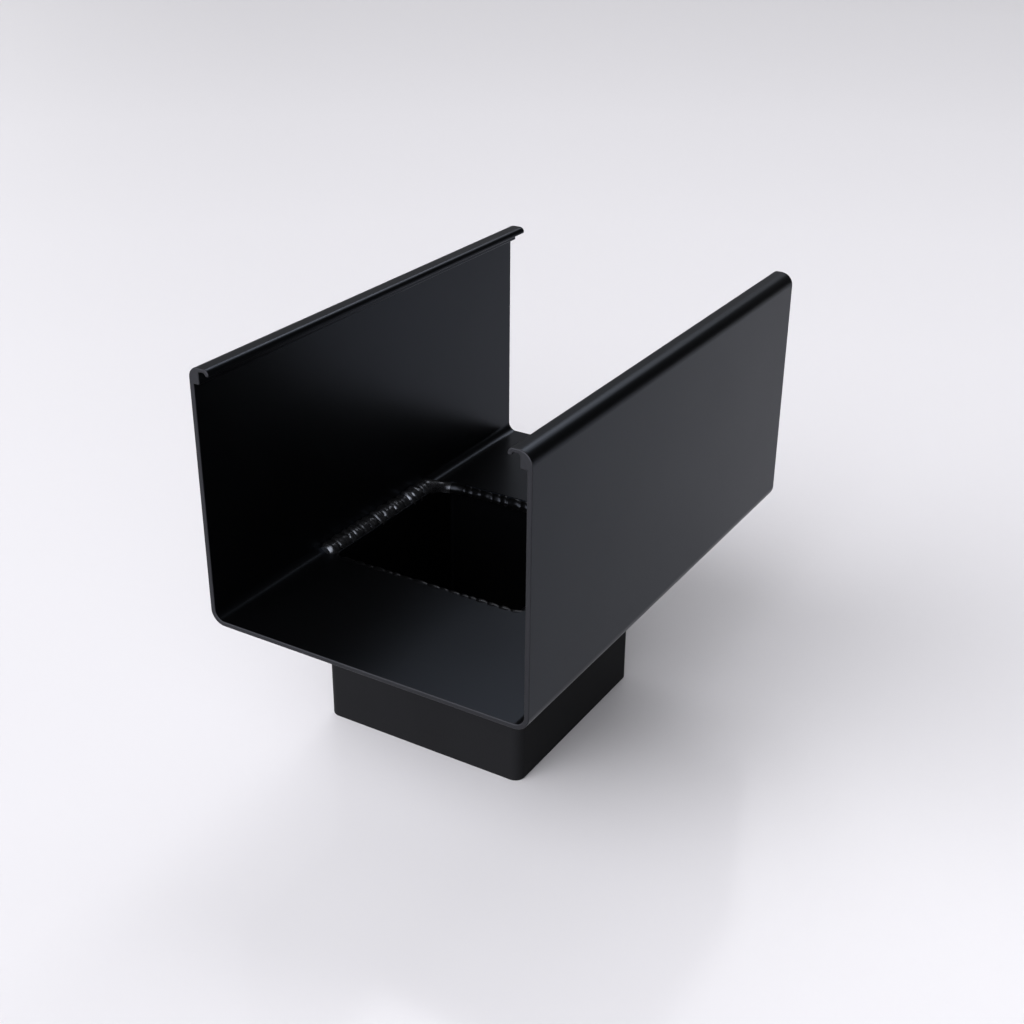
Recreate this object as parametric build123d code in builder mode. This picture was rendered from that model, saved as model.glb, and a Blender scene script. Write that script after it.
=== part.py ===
from build123d import *
import os

# Box gutter outlet: a short open-ended length of box gutter with a square spigot welded into its floor.
# Sizes are in millimetres. Z is up, Y runs along the gutter, and the part stands on the foot of its spigot,
# with the origin on the ground under the middle of the channel. The back wall is the one at -X.

# Channel, an extruded section
gutter_width = 125.0
gutter_height = 93.0
gutter_length = 192.0
wall_thickness = 1.8
bottom_radius = 5.4
end_chamfer = 0.3

# Rim along the top of each wall: a thick head, and a thin hook that turns in over the trough
rim_thickness = 4.1
rim_depth = 5.8
rim_radius = 3.5
rim_foot_radius = 0.5
hook_reach = 8.2
hook_thickness = 1.4
hook_nose_radius = 1.1
lip_drop = 0.65
lip_width = 1.2
lip_slope = 0.7
lip_radius = 0.4
groove_radius = 0.7

# Spigot, a length of square tube
spigot_side = 85.0
spigot_wall = 2.5
spigot_length = 66.0
spigot_radius = 4.0
bore_radius = 1.5
foot_chamfer = 0.4
spigot_setback = 0.0  # from the line where the floor's flat begins to the back of the spigot

# Opening cut in the channel's floor: as wide as the spigot's bore, and a little shorter along the gutter,
# so that the floor laps the bore at both ends
opening_lap = 2.0
opening_radius = 4.0

# Weld, laid from inside round the seam between the floor and the spigot
bead_bite = 0.4  # from the wall of the bore, past the floor's lap, into the wall of the spigot
bead_set_in = 0.1  # from the top of the floor down to the top of the bead

# The wider, rippled run of the weld, over the strip of floor between the opening and the back wall
back_bead_radius = 3.7
back_bead_inset = 2.9
back_bead_sink = 0.3
back_bead_lap = 1.5
back_bead_dip = 60  # degrees below level, on the side of the bore
back_bead_rise = 160  # degrees above level, where it dies into the foot of the wall
ripple_pitch = 5.0
ripple_height = 0.4

# Places that follow from the sizes
half_width = gutter_width / 2
floor_underside = spigot_length
floor_top = floor_underside + wall_thickness
rim_top = floor_underside + gutter_height
wall_face = half_width - wall_thickness
rim_face = half_width - rim_thickness
rim_foot = rim_top - rim_depth
hook_nose = half_width - hook_reach
hook_underside = rim_top - hook_thickness
lip_foot = hook_underside - lip_drop
lip_back = hook_nose + lip_width
groove_front = lip_back + lip_slope
inner_radius = max(bottom_radius - wall_thickness, 0)

bore_side = spigot_side - 2 * spigot_wall
spigot_back = bottom_radius - half_width + spigot_setback
spigot_x = spigot_back + spigot_side / 2
opening_length = bore_side - 2 * opening_lap
opening_back = spigot_x - bore_side / 2
opening_front = spigot_x + bore_side / 2
opening_end = opening_length / 2

bead_radius = opening_lap + bead_bite
bead_height = floor_top - bead_radius - bead_set_in
back_bead_length = opening_length - 2 * opening_radius + 2 * back_bead_lap
ripple_count = round(back_bead_length / ripple_pitch)
ripple_step = back_bead_length / ripple_count
ripple_root = back_bead_radius - ripple_height

os.makedirs("parts", exist_ok=True)

# Channel: the two walls are mirror images
with BuildPart() as gutter_channel:
    with BuildSketch(Plane.XZ):
        with BuildLine():
            FilletPolyline(
                (0, floor_underside),
                (half_width, floor_underside),
                (half_width, rim_top),
                (hook_nose, rim_top),
                (hook_nose, lip_foot),
                (lip_back, lip_foot),
                (groove_front, hook_underside),
                (rim_face, hook_underside),
                (rim_face, rim_foot),
                (wall_face, rim_foot),
                (wall_face, floor_top),
                (0, floor_top),
                radius=[
                    bottom_radius,
                    rim_radius,
                    hook_nose_radius,
                    lip_radius,
                    lip_radius,
                    lip_radius,
                    groove_radius,
                    rim_foot_radius,
                    0,
                    inner_radius,
                ],
            )
            mirror(about=Plane.YZ)
        make_face()
    extrude(amount=gutter_length / 2, both=True)
    sawn_ends = gutter_channel.faces().filter_by(Axis.Y)
    chamfer(sawn_ends.edges(), length=end_chamfer)
    with BuildSketch(Plane.XY.offset(floor_underside)):
        with Locations((spigot_x, 0)):
            RectangleRounded(bore_side, opening_length, opening_radius)
    extrude(amount=gutter_height / 2, both=True, mode=Mode.SUBTRACT)

# Spigot: its top meets the underside of the floor
with BuildPart() as outlet_spigot:
    with BuildSketch():
        with Locations((spigot_x, 0)):
            RectangleRounded(spigot_side, spigot_side, spigot_radius)
            RectangleRounded(bore_side, bore_side, bore_radius, mode=Mode.SUBTRACT)
    extrude(amount=spigot_length)
    foot_edges = outlet_spigot.faces().sort_by(Axis.Z)[0].outer_wire().edges()
    chamfer(foot_edges, length=foot_chamfer)

# Weld: a round bead swept along the edge of the opening, and the wider run at the back, whose ripples lap
# like a row of coins
with BuildPart() as weld_bead:
    with BuildLine(Plane.XY.offset(bead_height)) as seam:
        FilletPolyline(
            (opening_back, -opening_end),
            (opening_front, -opening_end),
            (opening_front, opening_end),
            (opening_back, opening_end),
            radius=opening_radius,
            close=True,
        )
    with BuildSketch(seam.line ^ 0):
        Circle(bead_radius)
    sweep(path=seam.line)
    back_middle = (opening_back - back_bead_inset, 0, floor_top - back_bead_sink)
    ripples = [(-back_bead_length / 2, 0)]
    for ripple in range(ripple_count):
        ripple_start = ripple * ripple_step - back_bead_length / 2
        ripples.append((ripple_start, ripple_root))
        ripples.append((ripple_start + ripple_step, back_bead_radius))
    ripples.append((back_bead_length / 2, 0))
    section_normal = Vector(0, 0, 1).rotate(Axis.Y, back_bead_dip)
    with BuildSketch(Plane(back_middle, x_dir=(0, -1, 0), z_dir=section_normal)):
        with BuildLine():
            Polyline(*ripples, close=True)
        make_face()
    revolve(axis=Axis(back_middle, (0, -1, 0)), revolution_arc=back_bead_dip + back_bead_rise)
    add(gutter_channel.part, mode=Mode.SUBTRACT)
    add(outlet_spigot.part, mode=Mode.SUBTRACT)

gutter_channel.part.label = "gutter_channel"
outlet_spigot.part.label = "outlet_spigot"
weld_bead.part.label = "weld_bead"

export_step(gutter_channel.part, "parts/gutter_channel.step")
export_step(outlet_spigot.part, "parts/outlet_spigot.step")
export_step(weld_bead.part, "parts/weld_bead.step")
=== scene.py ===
import math
import random

import bmesh
import bpy
from mathutils import Matrix, Vector, noise


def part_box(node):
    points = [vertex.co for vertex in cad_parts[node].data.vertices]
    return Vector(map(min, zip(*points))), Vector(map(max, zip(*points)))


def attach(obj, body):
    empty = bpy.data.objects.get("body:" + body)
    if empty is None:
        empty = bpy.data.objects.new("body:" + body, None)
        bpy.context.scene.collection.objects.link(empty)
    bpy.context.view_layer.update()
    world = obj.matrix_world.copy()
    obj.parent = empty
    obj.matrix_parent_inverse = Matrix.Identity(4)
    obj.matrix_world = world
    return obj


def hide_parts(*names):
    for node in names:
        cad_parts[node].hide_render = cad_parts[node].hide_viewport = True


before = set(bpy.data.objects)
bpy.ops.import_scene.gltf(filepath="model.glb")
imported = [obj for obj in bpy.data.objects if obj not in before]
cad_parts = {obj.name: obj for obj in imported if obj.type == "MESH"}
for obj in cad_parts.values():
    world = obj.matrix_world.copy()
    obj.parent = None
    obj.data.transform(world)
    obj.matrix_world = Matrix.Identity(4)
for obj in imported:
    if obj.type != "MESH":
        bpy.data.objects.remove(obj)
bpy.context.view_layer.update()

print("frame loaded:", ", ".join(sorted(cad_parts)))

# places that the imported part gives, in metres
channelLow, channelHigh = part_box("gutter_channel")
spigotLow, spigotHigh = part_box("outlet_spigot")
floorUnder = channelLow.z
rimTop = channelHigh.z
halfWidth = channelHigh.x
spigotMid = (spigotLow + spigotHigh) / 2


# outlines and meshes

def quarterTurn(steps):
    return [math.radians(90) * step / steps for step in range(steps + 1)]


def arcPoints(before, corner, after, radius, turnStep):
    inward = (before - corner).normalized()
    onward = (after - corner).normalized()
    turn = math.pi - inward.angle(onward)
    start = corner + inward * (radius * math.tan(turn / 2))
    centre = corner + (inward + onward).normalized() * (radius / math.cos(turn / 2))
    steps = max(3, math.ceil(turn / turnStep))
    angles = [turn * step / steps for step in range(steps + 1)]
    return [centre + (start - centre) * math.cos(a) - inward * (radius * math.sin(a)) for a in angles]


def roundedOutline(corners, turnStep):
    points = []
    for index, (across, up, radius) in enumerate(corners):
        before, after = corners[index - 1], corners[(index + 1) % len(corners)]
        points += arcPoints(Vector(before[:2]), Vector((across, up)), Vector(after[:2]), radius, turnStep)
    return points


def roundedRectangle(middle, halfX, halfY, radius, grow, turnStep):
    x, y, r = halfX + grow, halfY + grow, radius + grow
    corners = [(-x, -y, r), (x, -y, r), (x, y, r), (-x, y, r)]
    return [point + Vector(middle[:2]) for point in roundedOutline(corners, turnStep)]


def insetOutline(points, depth):
    # the outline runs anticlockwise, so its inside lies to the left of each edge
    moved = []
    for index, point in enumerate(points):
        back = (point - points[index - 1]).normalized()
        ahead = (points[(index + 1) % len(points)] - point).normalized()
        leftBack, leftAhead = Vector((-back.y, back.x)), Vector((-ahead.y, ahead.x))
        moved.append(point + (leftBack + leftAhead) * (depth / (1 + leftBack.dot(leftAhead))))
    return moved


def bridgeRings(mesh, first, second, skip=()):
    for index in range(len(first)):
        after = (index + 1) % len(first)
        if index not in skip:
            mesh.faces.new((first[index], first[after], second[after], second[index]))


def loopEdges(mesh, ring):
    pairs = zip(ring, ring[1:] + ring[:1])
    return [mesh.edges.get(pair) or mesh.edges.new(pair) for pair in pairs]


def makePiece(name, mesh, sharpAngle):
    bmesh.ops.recalc_face_normals(mesh, faces=mesh.faces)
    for face in mesh.faces:
        face.smooth = True
    for edge in mesh.edges:
        edge.smooth = edge.calc_face_angle(0) < sharpAngle
    data = bpy.data.meshes.new(name)
    mesh.to_mesh(data)
    mesh.free()
    piece = bpy.data.objects.new(name, data)
    bpy.context.scene.collection.objects.link(piece)
    weighted = piece.modifiers.new("evenShading", "WEIGHTED_NORMAL")
    weighted.mode = "FACE_AREA"
    weighted.weight = 100
    weighted.keep_sharp = True
    print("piece", name, len(data.polygons), "faces")
    return piece


# gutter channel: the extruded section, with its sawn edges softened by the coat

channel = {
    "wall": 0.0018,
    "bottomRadius": 0.0054,
    "rimThick": 0.0041,
    "rimDepth": 0.0058,
    "frontRimRadius": 0.0046,
    "backRimRadius": 0.0037,
    "rimFootRadius": 0.0005,
    "ledgeRadius": 0.0003,
    "hookReach": 0.0082,
    "hookThick": 0.0014,
    "noseRadius": 0.0019,
    "lipDrop": 0.001,
    "lipWidth": 0.0012,
    "lipSlope": 0.0007,
    "lipRadius": 0.0004,
    "grooveRadius": 0.0007,
    "sawnEdge": 0.00035,
    "openingHalf": Vector((0.040, 0.038)),
    "openingRadius": 0.004,
    "openingEdge": 0.0004,
    "turnStep": math.radians(6),
    "edgeSteps": 4,
    "sharpAngle": math.radians(38),
}
floorTop = floorUnder + channel["wall"]


def sectionSide(spec, rimRadius):
    wallFace = halfWidth - spec["wall"]
    rimFace = halfWidth - spec["rimThick"]
    nose = halfWidth - spec["hookReach"]
    lipBack = nose + spec["lipWidth"]
    hookUnder = rimTop - spec["hookThick"]
    lipFoot = hookUnder - spec["lipDrop"]
    rimFoot = rimTop - spec["rimDepth"]
    return [
        (halfWidth, floorUnder, spec["bottomRadius"]),
        (halfWidth, rimTop, rimRadius),
        (nose, rimTop, spec["noseRadius"]),
        (nose, lipFoot, spec["lipRadius"]),
        (lipBack, lipFoot, spec["lipRadius"]),
        (lipBack + spec["lipSlope"], hookUnder, spec["lipRadius"]),
        (rimFace, hookUnder, spec["grooveRadius"]),
        (rimFace, rimFoot, spec["rimFootRadius"]),
        (wallFace, rimFoot, spec["ledgeRadius"]),
        (wallFace, floorTop, spec["bottomRadius"] - spec["wall"]),
    ]


def channelSection(spec):
    rightSide = sectionSide(spec, spec["frontRimRadius"])
    mirrored = reversed(sectionSide(spec, spec["backRimRadius"]))
    leftSide = [(-across, up, radius) for across, up, radius in mirrored]
    return roundedOutline(rightSide + leftSide, spec["turnStep"])


def floorSegment(section, height):
    # the one long flat stretch of the section at this height
    for index, point in enumerate(section):
        after = section[(index + 1) % len(section)]
        level = max(abs(point.y - height), abs(after.y - height)) < 1e-6
        if level and abs(point.x - after.x) > halfWidth:
            return index


def buildChannel(spec):
    mesh = bmesh.new()
    section = channelSection(spec)
    edge, angles = spec["sawnEdge"], quarterTurn(spec["edgeSteps"])
    insets = [(edge * (1 - math.sin(a)), edge * (1 - math.cos(a))) for a in angles]
    stations = [(channelLow.y + along, depth) for along, depth in reversed(insets)]
    stations += [(channelHigh.y - along, depth) for along, depth in insets]
    rings = []
    for y, depth in stations:
        outline = insetOutline(section, depth)
        rings.append([mesh.verts.new((point.x, y, point.y)) for point in outline])
    flats = [floorSegment(section, floorTop), floorSegment(section, floorUnder)]
    middle = len(insets) - 1  # the long bay between the two softened ends
    for index in range(len(rings) - 1):
        bridgeRings(mesh, rings[index], rings[index + 1], skip=flats if index == middle else ())
    for ring in (rings[0], rings[-1]):
        mesh.faces.new(ring)
    # opening: its rim is rolled over from the floor's top, then runs straight down
    lip, radius = spec["openingEdge"], spec["openingRadius"]
    levels = [(lip * (1 - math.sin(a)), floorTop - lip * (1 - math.cos(a))) for a in angles]
    levels.append((0, floorUnder))
    wall = []
    for grow, z in levels:
        loop = roundedRectangle(spigotMid, *spec["openingHalf"], radius, grow, spec["turnStep"])
        wall.append([mesh.verts.new((point.x, point.y, z)) for point in loop])
    for upper, lower in zip(wall, wall[1:]):
        bridgeRings(mesh, upper, lower)
    for flat, loop in zip(flats, (wall[0], wall[-1])):
        after = (flat + 1) % len(section)
        near, far = rings[middle], rings[middle + 1]
        border = loopEdges(mesh, [near[flat], near[after], far[after], far[flat]])
        bmesh.ops.triangle_fill(mesh, use_beauty=True, edges=border + loopEdges(mesh, loop))
    for face in mesh.faces:
        if abs(face.calc_center_median().y) > channelHigh.y - edge:
            face.material_index = 1  # the sawn ends have a thinner coat
    return makePiece("gutterChannel", mesh, spec["sharpAngle"])


gutterChannel = buildChannel(channel)


# outlet spigot: square tube, with the coat drawn into the corner under the floor

spigot = {
    "wall": 0.0025,
    "radius": 0.004,
    "boreRadius": 0.0015,
    "footEdge": 0.0005,
    "boreEdge": 0.0004,
    "coatFillet": 0.0006,
    "turnStep": math.radians(6),
    "edgeSteps": 4,
    "sharpAngle": math.radians(38),
}


def buildSpigot(spec):
    mesh = bmesh.new()
    half = (spigotHigh.x - spigotLow.x) / 2
    bore = half - spec["wall"]
    foot, boreFoot, fillet = spec["footEdge"], spec["boreEdge"], spec["coatFillet"]
    angles = quarterTurn(spec["edgeSteps"])
    outer = [(-foot * (1 - math.sin(a)), spigotLow.z + foot * (1 - math.cos(a))) for a in angles]
    outer += [(fillet * (1 - math.cos(a)), spigotHigh.z - fillet * (1 - math.sin(a))) for a in angles]
    inner = [(boreFoot * (1 - math.sin(a)), spigotLow.z + boreFoot * (1 - math.cos(a))) for a in angles]
    inner = [(0, spigotHigh.z)] + inner[::-1]
    rings = []
    for levels, size, radius in ((outer, half, spec["radius"]), (inner, bore, spec["boreRadius"])):
        for grow, z in levels:
            loop = roundedRectangle(spigotMid, size, size, radius, grow, spec["turnStep"])
            rings.append([mesh.verts.new((point.x, point.y, z)) for point in loop])
    for index in range(len(rings)):
        bridgeRings(mesh, rings[index - 1], rings[index])
    for face in mesh.faces:
        reach = face.calc_center_median() - spigotMid
        if max(abs(reach.x), abs(reach.y)) < bore + boreFoot / 2:
            face.material_index = 1  # inside the tube: a duller coat, with its tone darkened as painted shade in the bore
    return makePiece("outletSpigot", mesh, spec["sharpAngle"])


outletSpigot = buildSpigot(spigot)


# weld: a wide rope-like run over the back wall's corner, and a finer bead round the rest

weld = {
    "seed": 11,
    "seamRadius": 0.0024,
    "seamSetIn": 0.0001,
    "seamPitch": 0.0046,
    "seamRipple": 0.0006,
    "nearLift": 0.0005,
    "sunkRadius": 0.001,
    "sunkShift": 0.0014,
    "ropeRadius": 0.0041,
    "ropeAxis": Vector((-0.0586, 0, 0.06745)),
    "ropeStart": -0.0385,
    "ropeBend": 0.0125,
    "ropeBluntness": 0.45,
    # where the rope's lighter coat (painted sheen) meets the finer bead's darker coat (painted shade)
    "sheenShadeBorder": -0.0515,
    "ropePitch": 0.005,
    "ropeRipple": 0.0011,
    "dip": math.radians(20),
    "rise": math.radians(140),
    "moreDip": math.radians(40),
    "moreRise": math.radians(50),
    "smoothSpan": (-0.004, 0.001),  # along the rope, from where its bend starts
    "narrowSpan": (0.001, 0.011),
    "widerSpan": (0.007, 0.014),
    "pitchSpread": (0.65, 1.4),
    "heightSpread": (0.6, 1.0),
    "rippleLean": 0.8,
    "rippleRound": 2.2,
    "fineWave": 0.0024,
    "fineHeight": 0.00006,
    "lag": 0.0009,
    "along": 0.0003,
    "around": 30,
    "lumpSize": 0.0023,
    "lumpHeight": 0.00032,
    "turnStep": math.radians(3),
    "bendSteps": 30,
    "sharpAngle": math.radians(60),
}


def rippleEdges(length, pitch, spec, dice):
    # where each ripple starts, with an uneven pitch, and how high it stands
    edges, heights = [0.0], []
    while edges[-1] < length:
        edges.append(edges[-1] + pitch * dice.uniform(*spec["pitchSpread"]))
        heights.append(dice.uniform(*spec["heightSpread"]))
    return edges, heights


def rippleHeight(place, edges, heights, spec):
    place = min(max(place, 0.0), edges[-1] - 1e-9)
    index = next(i for i, start in enumerate(edges[1:]) if place < start)
    share = (place - edges[index]) / (edges[index + 1] - edges[index])
    return heights[index] * (1 - abs(2 * share ** spec["rippleLean"] - 1) ** spec["rippleRound"])


def lumps(point, spec):
    return spec["lumpHeight"] * noise.noise(point / spec["lumpSize"])


def smoothShare(value, low, high):
    share = min(max((value - low) / (high - low), 0.0), 1.0)
    return share * share * (3 - 2 * share)


def walkPath(path, spacing):
    # even steps along a polyline, each with the direction of its leg
    stops = [0.0]
    for before, after in zip(path, path[1:]):
        stops.append(stops[-1] + (after - before).length)
    count = round(stops[-1] / spacing)
    walk, leg = [], 0
    for step in range(count + 1):
        along = stops[-1] * step / count
        while leg < len(path) - 2 and stops[leg + 1] < along:
            leg += 1
        share = (along - stops[leg]) / (stops[leg + 1] - stops[leg])
        ahead = (path[leg + 1] - path[leg]).normalized()
        walk.append((along, path[leg].lerp(path[leg + 1], share), ahead))
    return walk


def buildSeamBead(mesh, spec, dice):
    halfX, halfY = channel["openingHalf"]
    left = spigotMid.x - halfX
    path = roundedRectangle(spigotMid, halfX, halfY, channel["openingRadius"], 0, spec["turnStep"])
    walk = walkPath(path + path[:1], spec["along"])
    edges, heights = rippleEdges(walk[-1][0], spec["seamPitch"], spec, dice)
    rings = []
    for along, point, ahead in walk[:-1]:
        inward = Vector((-ahead.y, ahead.x, 0))
        # hidden in metal beside the rope
        sunk = 1 - smoothShare(point.x, left, left + channel["openingRadius"])
        full = spec["seamRadius"] + (spec["sunkRadius"] - spec["seamRadius"]) * sunk
        height = floorTop - spec["seamRadius"] - spec["seamSetIn"]
        height += spec["nearLift"] * (1 - sunk) * smoothShare(-point.y, 0, halfY)
        centre = Vector((point.x, point.y, height)) - inward * (spec["sunkShift"] * sunk)
        ring = []
        for turn in range(spec["around"]):
            angle = math.tau * turn / spec["around"]
            crest = rippleHeight(along - spec["lag"] * math.sin(angle) ** 2, edges, heights, spec)
            radius = full - spec["seamRipple"] * (1 - crest) * (1 - sunk)
            spot = centre + inward * (radius * math.cos(angle))
            spot.z += radius * math.sin(angle)
            spot += inward * (lumps(spot, spec) * max(0, math.cos(angle)) * (1 - sunk))
            ring.append(mesh.verts.new(spot))
        rings.append(ring)
    for index in range(len(rings)):
        bridgeRings(mesh, rings[index - 1], rings[index])


def ropePath(spec):
    # up the back wall, then round the far corner onto the far edge of the opening
    bend, x = spec["ropeBend"], spec["ropeAxis"].x
    farEdge = spigotMid.y + channel["openingHalf"].y
    middle = Vector((x + bend, farEdge - bend))
    turns = quarterTurn(spec["bendSteps"])
    arc = [middle + bend * Vector((-math.cos(a), math.sin(a))) for a in turns]
    return [Vector((x, spec["ropeStart"]))] + arc


def buildRope(mesh, spec, dice):
    seamHeight = floorTop - spec["seamRadius"] - spec["seamSetIn"]
    walk = walkPath(ropePath(spec), spec["along"])
    length = walk[-1][0]
    edges, heights = rippleEdges(length, spec["ropePitch"], spec, dice)
    bendStart = length - math.radians(90) * spec["ropeBend"]
    rings = []
    for along, point, ahead in walk:
        inward = Vector((ahead.y, -ahead.x, 0))
        blunt = min(1, spec["ropeBluntness"] + along / spec["ropeRadius"])
        taper = math.sqrt(1 - (1 - blunt) ** 2)
        # in the bend the run loses its ripples, narrows, sinks to the edge and leaves the wall
        beyond = along - bendStart
        bent = smoothShare(along, bendStart, length)
        smooth = smoothShare(beyond, *spec["smoothSpan"])
        narrow = smoothShare(beyond, *spec["narrowSpan"])
        wider = smoothShare(beyond, *spec["widerSpan"])
        height = spec["ropeAxis"].z + (seamHeight - spec["ropeAxis"].z) * (narrow + bent) / 2
        centre = Vector((point.x, point.y, height))
        full = spec["ropeRadius"] + (spec["seamRadius"] - spec["ropeRadius"]) * narrow
        dip, rise = spec["dip"] + spec["moreDip"] * wider, spec["rise"] + spec["moreRise"] * wider
        ring = [mesh.verts.new(centre)]
        for turn in range(spec["around"] + 1):
            angle = -dip + (dip + rise) * turn / spec["around"]
            side = 2 * turn / spec["around"] - 1
            place = along - spec["lag"] * side ** 2
            dent = spec["ropeRipple"] * (1 - rippleHeight(place, edges, heights, spec))
            dent += spec["fineHeight"] * math.sin(math.tau * place / spec["fineWave"])
            outward = inward * math.cos(angle) + Vector((0, 0, math.sin(angle)))
            spot = centre + outward * ((full - dent * (1 - smooth)) * taper)
            ring.append(mesh.verts.new(spot + outward * (lumps(spot, spec) * (1 - smooth))))
        rings.append(ring)
    for first, second in zip(rings, rings[1:]):
        bridgeRings(mesh, first, second)
    for ring in (rings[0], rings[-1]):
        mesh.faces.new(ring)


def buildWeld(spec):
    dice = random.Random(spec["seed"])
    mesh = bmesh.new()
    buildSeamBead(mesh, spec, dice)
    buildRope(mesh, spec, dice)
    for face in mesh.faces:
        if face.calc_center_median().x > spec["sheenShadeBorder"]:
            face.material_index = 1  # the finer bead's darker, duller coat: painted shade
    return makePiece("weldBead", mesh, spec["sharpAngle"])


weldBead = buildWeld(weld)


# black powder coat: one node group gives the fine skin to every coated surface

skin = {
    "inputs": ("Tone", "Roughness", "Peel", "Grain", "Streak"),
    "peelScale": 650,  # orange peel, about 1.5 mm
    "grainScale": 4200,  # the fine tooth of a satin coat
    "cloudScale": 28,  # slow drift in film build
    "streakScale": 420,  # faint lines left by the extrusion, along the gutter
    "streakStretch": (1, 0.02, 1),
    "grainShare": 0.12,
    "streakShare": 0.2,
    "roughCloud": (0.9, 1.1),
    "roughGrain": (-0.03, 0.03),
    "toneCloud": (0.85, 1.15),
    "toneGrain": (0.8, 1.2),
    "greenShare": 1.01,
    "blueShare": 1.08,
}


def newMaterial(name):
    material = bpy.data.materials.new(name)
    material.use_nodes = True
    return material, material.node_tree.nodes, material.node_tree.links


def addNode(nodes, kind, **settings):
    node = nodes.new(kind)
    for key, value in settings.items():
        setattr(node, key, value)
    return node


def coatSkinGroup(spec):
    group = bpy.data.node_groups.new("coatSkin", "ShaderNodeTree")
    for name in spec["inputs"]:
        group.interface.new_socket(name, in_out="INPUT", socket_type="NodeSocketFloat")
    group.interface.new_socket("Color", in_out="OUTPUT", socket_type="NodeSocketColor")
    group.interface.new_socket("Roughness", in_out="OUTPUT", socket_type="NodeSocketFloat")
    group.interface.new_socket("Height", in_out="OUTPUT", socket_type="NodeSocketFloat")
    nodes, links = group.nodes, group.links
    given = nodes.new("NodeGroupInput")
    result = nodes.new("NodeGroupOutput")
    place = nodes.new("ShaderNodeTexCoord")

    def noiseAt(scale, detail, stretch=(1, 1, 1)):
        mapping = nodes.new("ShaderNodeMapping")
        mapping.inputs["Scale"].default_value = stretch
        texture = nodes.new("ShaderNodeTexNoise")
        texture.inputs["Scale"].default_value = scale
        texture.inputs["Detail"].default_value = detail
        links.new(place.outputs["Object"], mapping.inputs["Vector"])
        links.new(mapping.outputs["Vector"], texture.inputs["Vector"])
        return texture.outputs["Fac"]

    def sums(operation, first, second):
        node = addNode(nodes, "ShaderNodeMath", operation=operation)
        for socket, value in zip(node.inputs, (first, second)):
            if isinstance(value, (int, float)):
                socket.default_value = value
            else:
                links.new(value, socket)
        return node.outputs[0]

    def spread(value, low, high):
        node = nodes.new("ShaderNodeMapRange")
        node.inputs["To Min"].default_value = low
        node.inputs["To Max"].default_value = high
        links.new(value, node.inputs["Value"])
        return node.outputs["Result"]

    peel = noiseAt(spec["peelScale"], 1.5)
    grain = noiseAt(spec["grainScale"], 2.0)
    cloud = noiseAt(spec["cloudScale"], 3.0)
    streak = noiseAt(spec["streakScale"], 2.0, spec["streakStretch"])
    height = sums("MULTIPLY", peel, given.outputs["Peel"])
    for texture, socket, share in ((grain, "Grain", "grainShare"), (streak, "Streak", "streakShare")):
        depth = sums("MULTIPLY", given.outputs[socket], spec[share])
        height = sums("ADD", height, sums("MULTIPLY", texture, depth))
    links.new(height, result.inputs["Height"])
    rough = sums("MULTIPLY", given.outputs["Roughness"], spread(cloud, *spec["roughCloud"]))
    rough = sums("ADD", rough, spread(grain, *spec["roughGrain"]))
    links.new(rough, result.inputs["Roughness"])
    tone = sums("MULTIPLY", given.outputs["Tone"], spread(cloud, *spec["toneCloud"]))
    tone = sums("MULTIPLY", tone, spread(grain, *spec["toneGrain"]))
    colour = addNode(nodes, "ShaderNodeCombineColor", mode="RGB")
    links.new(tone, colour.inputs["Red"])
    links.new(sums("MULTIPLY", tone, spec["greenShare"]), colour.inputs["Green"])
    links.new(sums("MULTIPLY", tone, spec["blueShare"]), colour.inputs["Blue"])
    links.new(colour.outputs["Color"], result.inputs["Color"])
    return group


coatSkin = coatSkinGroup(skin)
print("node group coatSkin")


def coatMaterial(name, spec):
    material, nodes, links = newMaterial(name)
    shader = nodes["Principled BSDF"]
    shader.inputs["IOR"].default_value = spec["ior"]
    shader.inputs["Specular Tint"].default_value = spec["tint"]
    coat = addNode(nodes, "ShaderNodeGroup", node_tree=coatSkin)
    for socket in skin["inputs"]:
        coat.inputs[socket].default_value = spec[socket]
    bump = nodes.new("ShaderNodeBump")
    bump.inputs["Strength"].default_value = spec["bump"]
    bump.inputs["Distance"].default_value = spec["bumpDepth"]
    links.new(coat.outputs["Color"], shader.inputs["Base Color"])
    links.new(coat.outputs["Roughness"], shader.inputs["Roughness"])
    links.new(coat.outputs["Height"], bump.inputs["Height"])
    links.new(bump.outputs["Normal"], shader.inputs["Normal"])
    print("material", name)
    return material


satinCoat = {
    "Tone": 0.0026, "Roughness": 0.3, "Peel": 0.35, "Grain": 0.5, "Streak": 0.25,
    "ior": 1.44, "tint": (0.6, 0.74, 1.0, 1), "bump": 0.2, "bumpDepth": 0.00004,
}
tubeCoat = {  # a thinner, duller coat on the tube
    "Tone": 0.019, "Roughness": 0.45, "Peel": 0.3, "Grain": 0.6, "Streak": 0.0,
    "ior": 1.12, "tint": (0.7, 0.78, 1.0, 1), "bump": 0.2, "bumpDepth": 0.00004,
}
sawnCoat = {
    "Tone": 0.011, "Roughness": 0.38, "Peel": 0.3, "Grain": 0.7, "Streak": 0.0,
    "ior": 1.5, "tint": (0.85, 0.88, 1.0, 1), "bump": 0.25, "bumpDepth": 0.00004,
}
# the bore's coat is darker than the tube's outside: painted shade in the recess
boreShadeCoat = {
    "Tone": 0.002, "Roughness": 0.5, "Peel": 0.3, "Grain": 0.6, "Streak": 0.0,
    "ior": 1.2, "tint": (0.7, 0.78, 1.0, 1), "bump": 0.2, "bumpDepth": 0.00004,
}
ropeSheenCoat = {  # lighter tone as painted sheen, and glossier on the crests
    "Tone": 0.014, "Roughness": 0.28, "Peel": 0.5, "Grain": 0.5, "Streak": 0.0,
    "ior": 2.1, "tint": (0.85, 0.9, 1.0, 1), "bump": 0.3, "bumpDepth": 0.00006,
}
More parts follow.
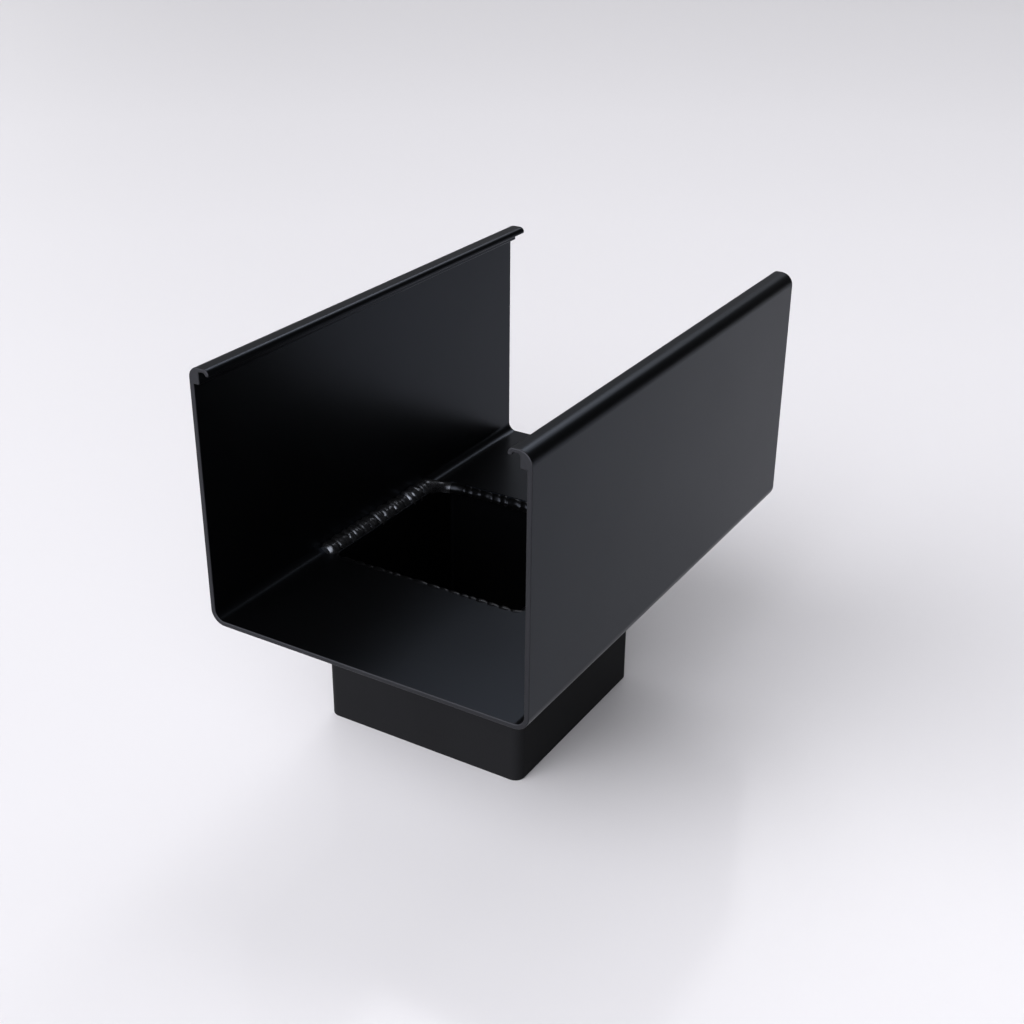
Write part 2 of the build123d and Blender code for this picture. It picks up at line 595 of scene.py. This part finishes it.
# the finer bead's darker, less glossy copy of the weld coat: painted shade
seamShadeCoat = {
    "Tone": 0.003, "Roughness": 0.3, "Peel": 0.5, "Grain": 0.5, "Streak": 0.0,
    "ior": 1.4, "tint": (0.8, 0.86, 1.0, 1), "bump": 0.3, "bumpDepth": 0.00006,
}
satinBlack = coatMaterial("satinBlackCoat", satinCoat)
tubeBlack = coatMaterial("tubeBlackCoat", tubeCoat)
boreShadedBlack = coatMaterial("boreShadedBlackCoat", boreShadeCoat)
sawnBlack = coatMaterial("sawnBlackCoat", sawnCoat)
ropeSheenBlack = coatMaterial("ropeSheenBlackCoat", ropeSheenCoat)
seamShadedBlack = coatMaterial("seamShadedBlackCoat", seamShadeCoat)

for piece, node, slot, materials in (
    (gutterChannel, "gutter_channel", "black_powder_coat", (satinBlack, sawnBlack)),
    (outletSpigot, "outlet_spigot", "black_powder_coat", (tubeBlack, boreShadedBlack)),
    (weldBead, "weld_bead", "coated_weld", (ropeSheenBlack, seamShadedBlack)),
):
    for material in materials:
        piece.data.materials.append(material)
    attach(piece, "root")
    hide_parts(node)


# studio: pale glossy table under a wide soft sky, brightest low down at the front

studio = {
    "floorSize": 14.0,
    "floorCells": 8,
    "floorTone": (0.805, 0.80, 0.82, 1),
    "floorRough": 0.14,
    "floorIor": 1.2,
    "hazeScale": 3.0,
    "hazeSpread": (0.8, 1.2),
    "skyTone": (0.985, 0.98, 1.0, 1),
    "skyBase": 0.05,
    "contrast": 0.8,  # below 1 deepens the blacks
}
skyPatches = {  # angles from the middle of each bright patch: full strength inside, none outside
    "frontWindow": {"toward": (-0.05, -1.0, 0.06), "full": 24, "none": 80, "strength": 5.2},
    "leftPanel": {"toward": (-1.0, 0.0, 0.2), "full": 15, "none": 50, "strength": 1.0},
    "backLampLeft": {"toward": (-0.39, 0.58, 0.72), "full": 3, "none": 10, "strength": 4.6},
    "backLampMid": {"toward": (-0.17, 0.71, 0.68), "full": 4, "none": 12, "strength": 4.8},
    "backLampRight": {"toward": (0.04, 0.78, 0.62), "full": 4, "none": 12, "strength": 2.2},
    "backWall": {"toward": (-0.48, 0.82, 0.3), "full": 20, "none": 60, "strength": 0.28},
    "overhead": {"toward": (-0.2, 0.2, 0.95), "full": 6, "none": 20, "strength": 0.3},
}


def buildFloor(spec):
    mesh = bmesh.new()
    cells = spec["floorCells"]
    bmesh.ops.create_grid(mesh, x_segments=cells, y_segments=cells, size=spec["floorSize"] / 2)
    data = bpy.data.meshes.new("paleFloor")
    mesh.to_mesh(data)
    mesh.free()
    floor = bpy.data.objects.new("paleFloor", data)
    bpy.context.scene.collection.objects.link(floor)
    material, nodes, links = newMaterial("paleTable")
    shader = nodes["Principled BSDF"]
    shader.inputs["Base Color"].default_value = spec["floorTone"]
    shader.inputs["IOR"].default_value = spec["floorIor"]
    haze = nodes.new("ShaderNodeTexNoise")
    haze.inputs["Scale"].default_value = spec["hazeScale"]
    span = nodes.new("ShaderNodeMapRange")
    span.inputs["To Min"].default_value = spec["floorRough"] * spec["hazeSpread"][0]
    span.inputs["To Max"].default_value = spec["floorRough"] * spec["hazeSpread"][1]
    links.new(haze.outputs["Fac"], span.inputs["Value"])
    links.new(span.outputs["Result"], shader.inputs["Roughness"])
    data.materials.append(material)


def buildSky(spec, patches):
    world = bpy.data.worlds.new("studioSky")
    world.use_nodes = True
    nodes, links = world.node_tree.nodes, world.node_tree.links
    background = nodes["Background"]
    background.inputs["Color"].default_value = spec["skyTone"]
    place = nodes.new("ShaderNodeTexCoord")
    total = None
    for patch in patches.values():
        along = addNode(nodes, "ShaderNodeVectorMath", operation="DOT_PRODUCT")
        along.inputs[1].default_value = Vector(patch["toward"]).normalized()
        angle = addNode(nodes, "ShaderNodeMath", operation="ARCCOSINE")
        glow = addNode(nodes, "ShaderNodeMapRange", interpolation_type="SMOOTHSTEP")
        glow.inputs["From Min"].default_value = math.radians(patch["none"])
        glow.inputs["From Max"].default_value = math.radians(patch["full"])
        glow.inputs["To Max"].default_value = patch["strength"]
        gather = addNode(nodes, "ShaderNodeMath", operation="ADD")
        gather.inputs[1].default_value = spec["skyBase"]
        links.new(place.outputs["Generated"], along.inputs[0])
        links.new(along.outputs["Value"], angle.inputs[0])
        links.new(angle.outputs[0], glow.inputs["Value"])
        links.new(glow.outputs["Result"], gather.inputs[0])
        if total:
            links.new(total, gather.inputs[1])
        total = gather.outputs[0]
    links.new(total, background.inputs["Strength"])
    bpy.context.scene.world = world


buildFloor(studio)
buildSky(studio, skyPatches)
bpy.context.scene.view_settings.view_transform = "Standard"
bpy.context.scene.view_settings.gamma = studio["contrast"]
print("studio lit by", ", ".join(skyPatches))


# camera: where the photograph was taken from

view = {
    "place": (0.24863, -0.41739, 0.32611),
    "azimuth": math.radians(30.932),
    "elevation": math.radians(26.507),
    "roll": math.radians(0.473),
    "lens": 52.274,
    "sensor": 36.0,
    "clip": (0.01, 50),
}


def addCamera(spec):
    data = bpy.data.cameras.new("photoCamera")
    data.lens, data.sensor_width = spec["lens"], spec["sensor"]
    data.clip_start, data.clip_end = spec["clip"]
    turn, lift, roll = spec["azimuth"], spec["elevation"], spec["roll"]
    back = Vector((math.sin(turn) * math.cos(lift), -math.cos(turn) * math.cos(lift), math.sin(lift)))
    level = Vector((math.cos(turn), math.sin(turn), 0))
    right = level * math.cos(roll) + back.cross(level) * math.sin(roll)
    camera = bpy.data.objects.new("photoCamera", data)
    turned = Matrix((right, back.cross(right), back)).transposed().to_4x4()
    camera.matrix_world = Matrix.Translation(spec["place"]) @ turned
    bpy.context.scene.collection.objects.link(camera)
    bpy.context.scene.camera = camera


addCamera(view)
print("camera placed")
